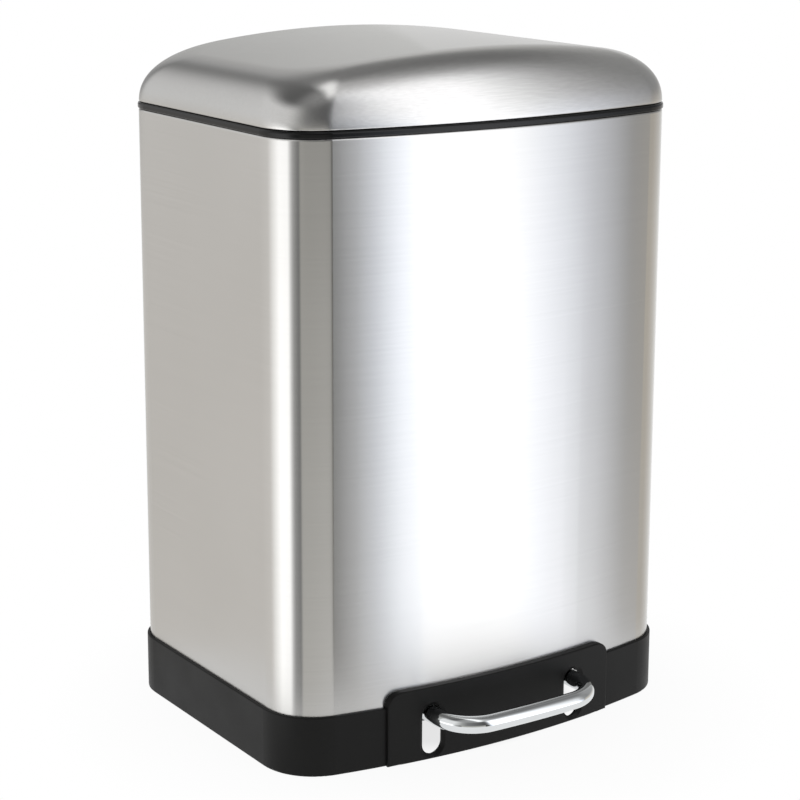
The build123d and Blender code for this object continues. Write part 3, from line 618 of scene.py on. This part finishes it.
# White backdrop
world = bpy.data.worlds.new("backdrop")
scene.world = world
world.use_nodes = True
world.node_tree.nodes["Background"].inputs["Color"].default_value = rgba(1.0)


def studio_sphere():
    """A sphere round the can, with the opening to the backdrop left out."""
    vertices = []
    for row in range(studio_rows + 1):
        rise = math.radians(-90 + 180 * row / studio_rows)
        flat, height = studio_radius * math.cos(rise), studio_radius * math.sin(rise)
        for column in range(studio_columns):
            turn = math.radians(-180 + 360 * column / studio_columns)
            vertices.append((flat * math.sin(turn), -flat * math.cos(turn), height))
    faces = []
    for row in range(studio_rows):
        low, high = row * studio_columns, (row + 1) * studio_columns
        rise = -90 + 180 * (row + 0.5) / studio_rows
        for column in range(studio_columns):
            turn = -180 + 360 * (column + 0.5) / studio_columns
            if open_turns[0] < turn < open_turns[1] and open_rises[0] < rise < open_rises[1]:
                continue
            after = (column + 1) % studio_columns
            faces.append((low + column, low + after, high + after, high + column))
    mesh = bpy.data.meshes.new("studio_panels")
    mesh.from_pydata(vertices, [], faces)
    return mesh


def tones_around(tree, tones, around):
    """The tones of one row, closed round the can."""
    closed = (*tones, (180, tones[0][1]))
    return ramp(tree, [((azimuth + 180) / 360, tone) for azimuth, tone in closed], around)


def studio_panels():
    """The light panels and dark flags all round the can, out of the camera's sight."""
    mesh = studio_sphere()
    panels = new_object("studio_panels", mesh)
    panels.location = (0.0, 0.0, studio_middle)
    panels.visible_camera = False
    made, tree, shader = new_material("studio_panels")
    tree.nodes.remove(shader)
    unit = tree.nodes.new("ShaderNodeVectorMath")
    unit.operation = "NORMALIZE"
    tree.links.new(tree.nodes.new("ShaderNodeTexCoord").outputs["Object"], unit.inputs[0])
    split = tree.nodes.new("ShaderNodeSeparateXYZ")
    tree.links.new(unit.outputs["Vector"], split.inputs[0])
    forward = math_node(tree, "MULTIPLY", split.outputs["Y"], -1.0)
    turn = math_node(tree, "ARCTAN2", split.outputs["X"], forward)
    around = math_node(tree, "MULTIPLY_ADD", turn, 1.0 / math.tau, 0.5)
    rise = math_node(tree, "ARCSINE", split.outputs["Z"])
    room = tones_around(tree, ground_tones, around)
    for limits, tones in (
        (ground_to_low, low_tones),
        (low_to_middle, middle_tones),
        (middle_to_high, high_tones),
    ):
        room = mix_colour(tree, smooth(tree, rise, *limits), room, tones_around(tree, tones, around))
    box = math_node(tree, "GREATER_THAN", split.outputs["Z"], 0.0)
    for axis, place, half in zip("XY", overhead_middle, overhead_half):
        off = math_node(tree, "ABSOLUTE", math_node(tree, "SUBTRACT", split.outputs[axis], place))
        inside = smooth(tree, off, half + overhead_soft / 2, half - overhead_soft / 2)
        box = math_node(tree, "MULTIPLY", box, inside)
    glow = tree.nodes.new("ShaderNodeEmission")
    tree.links.new(mix_colour(tree, box, room, rgba(overhead_tone)), glow.inputs["Color"])
    tree.links.new(glow.outputs["Emission"], tree.nodes["Material Output"].inputs["Surface"])
    mesh.materials.append(made)


def table():
    """Round white table that keeps the can's shadow."""
    bpy.ops.mesh.primitive_circle_add(vertices=table_points, radius=table_radius, fill_type="NGON")
    top = bpy.context.object
    top.name = "table"
    made, tree, shader = new_material("table")
    shader.inputs["Base Color"].default_value = rgba(table_tone)
    shader.inputs["Roughness"].default_value = table_rough
    shader.inputs["Specular IOR Level"].default_value = 0.0
    glow = tree.nodes.new("ShaderNodeEmission")
    reach = tree.nodes.new("ShaderNodeVectorMath")
    reach.operation = "LENGTH"
    tree.links.new(tree.nodes.new("ShaderNodeTexCoord").outputs["Object"], reach.inputs[0])
    out = math_node(tree, "DIVIDE", reach.outputs["Value"], table_radius)
    white = ramp(tree, table_white, out)
    path = tree.nodes.new("ShaderNodeLightPath")
    seen = path.outputs["Is Camera Ray"]
    for ray in ("Is Glossy Ray", "Is Transmission Ray"):
        seen = math_node(tree, "MAXIMUM", seen, path.outputs[ray])
    blend = tree.nodes.new("ShaderNodeMixShader")
    tree.links.new(math_node(tree, "MULTIPLY", seen, white), blend.inputs["Fac"])
    tree.links.new(shader.outputs["BSDF"], blend.inputs[1])
    tree.links.new(glow.outputs["Emission"], blend.inputs[2])
    tree.links.new(blend.outputs["Shader"], tree.nodes["Material Output"].inputs["Surface"])
    top.data.materials.append(made)


studio_panels()
table()

camera_data = bpy.data.cameras.new("camera")
camera_data.lens = camera_lens
camera_data.sensor_width = camera_sensor
camera_data.shift_y = camera_drop
camera = new_object("camera", camera_data)
look_along = (camera_target - camera_place).to_track_quat("-Z", "Y").to_matrix().to_4x4()
roll = Matrix.Rotation(camera_roll, 4, "Z")
camera.matrix_world = Matrix.Translation(camera_place) @ look_along @ roll
scene.camera = camera
